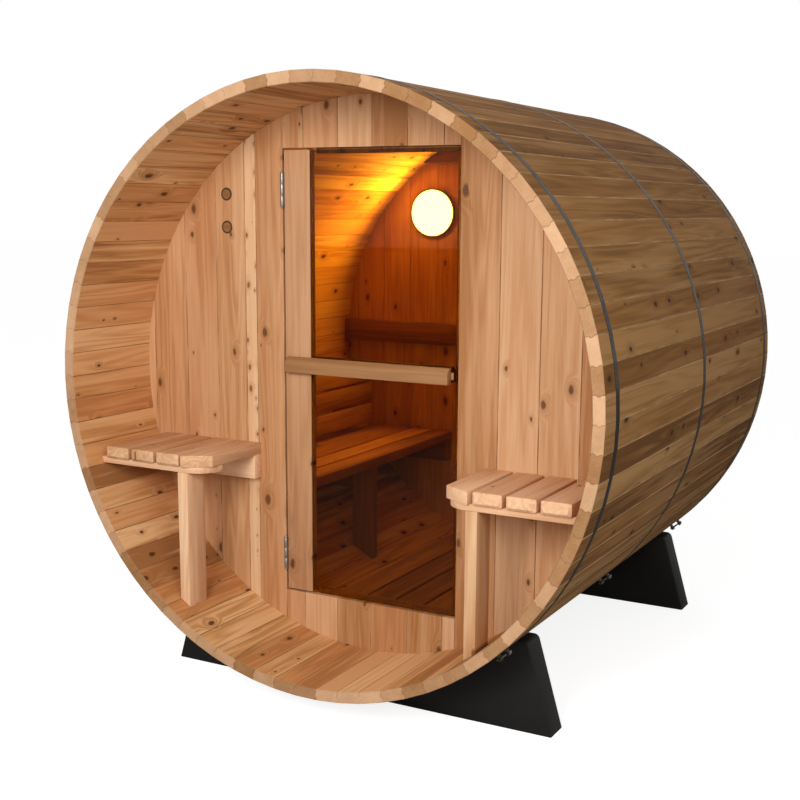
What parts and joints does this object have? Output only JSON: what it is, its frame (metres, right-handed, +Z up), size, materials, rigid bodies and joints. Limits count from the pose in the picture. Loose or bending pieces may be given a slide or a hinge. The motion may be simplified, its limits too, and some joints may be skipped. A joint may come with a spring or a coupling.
{
  "type": "barrel sauna",
  "caption": "Coopered cedar barrel sauna on two cradles, with a seated porch, a hinged glass door and benches along both sides of its cabin.",
  "frame": {"origin": "on the ground under the middle of the barrel", "axes": "+Z up, +Y from the porch to the back wall, +X to the right seen from the porch"},
  "size_m": [1.8324, 1.829, 1.9124],
  "materials": {
    "cedar_staves": "planed cedar, oiled",
    "cedar_walls": "planed cedar boards",
    "cedar_door": "planed cedar",
    "cedar_seats": "planed cedar",
    "cedar_interior": "planed cedar, untreated",
    "hoop_steel": "stainless steel band",
    "cradle_black": "matt black",
    "tinted_glass": "bronze tinted, toughened",
    "hinge_metal": "satin steel",
    "lamp_opal": "opal glass",
    "lamp_rim": "matt dark"
  },
  "bodies": {
    "cabin": {"bench_left_backrest_slats": "cedar_interior", "bench_left_backrest_uprights": "cedar_interior", "bench_left_bearers": "cedar_interior", "bench_left_boards": "cedar_interior", "bench_right_backrest_slats": "cedar_interior", "bench_right_backrest_uprights": "cedar_interior", "bench_right_bearers": "cedar_interior", "bench_right_boards": "cedar_interior", "cradle_front": "cradle_black", "cradle_rear": "cradle_black", "door_stops": "cedar_door", "floor_bearers": "cedar_interior", "floor_boards": "cedar_interior", "front_wall_header": "cedar_walls", "front_wall_left": "cedar_walls", "front_wall_right": "cedar_walls", "front_wall_sill": "cedar_walls", "hinge_leaves_wall": "hinge_metal", "hoop_front": "hoop_steel", "hoop_middle": "hoop_steel", "hoop_rear": "hoop_steel", "hoop_tensioners": "hoop_steel", "lamp_cover": "lamp_opal", "lamp_rim": "lamp_rim", "porch_seat_left_bearers": "cedar_seats", "porch_seat_left_post": "cedar_seats", "porch_seat_left_slats": "cedar_seats", "porch_seat_right_bearers": "cedar_seats", "porch_seat_right_post": "cedar_seats", "porch_seat_right_slats": "cedar_seats", "rear_wall": "cedar_walls", "rear_wall_rail_middle": "cedar_interior", "rear_wall_rail_upper": "cedar_interior", "staves_bottom": "cedar_staves", "staves_lower_left": "cedar_staves", "staves_lower_right": "cedar_staves", "staves_top": "cedar_staves", "staves_upper_left": "cedar_staves", "staves_upper_right": "cedar_staves"},
    "door": {"door_glass": "tinted_glass", "door_handle_inner": "cedar_door", "door_handle_outer": "cedar_door", "door_stile": "cedar_door", "hinge_leaves_door": "hinge_metal"}
  },
  "joints": [
    {"name": "door_swing", "type": "hinge", "parent": "cabin", "child": "door", "pos_m": [-0.312, -0.549, 0.997], "axis": [0, 0, -1], "range_deg": [0, 105]}
  ]
}
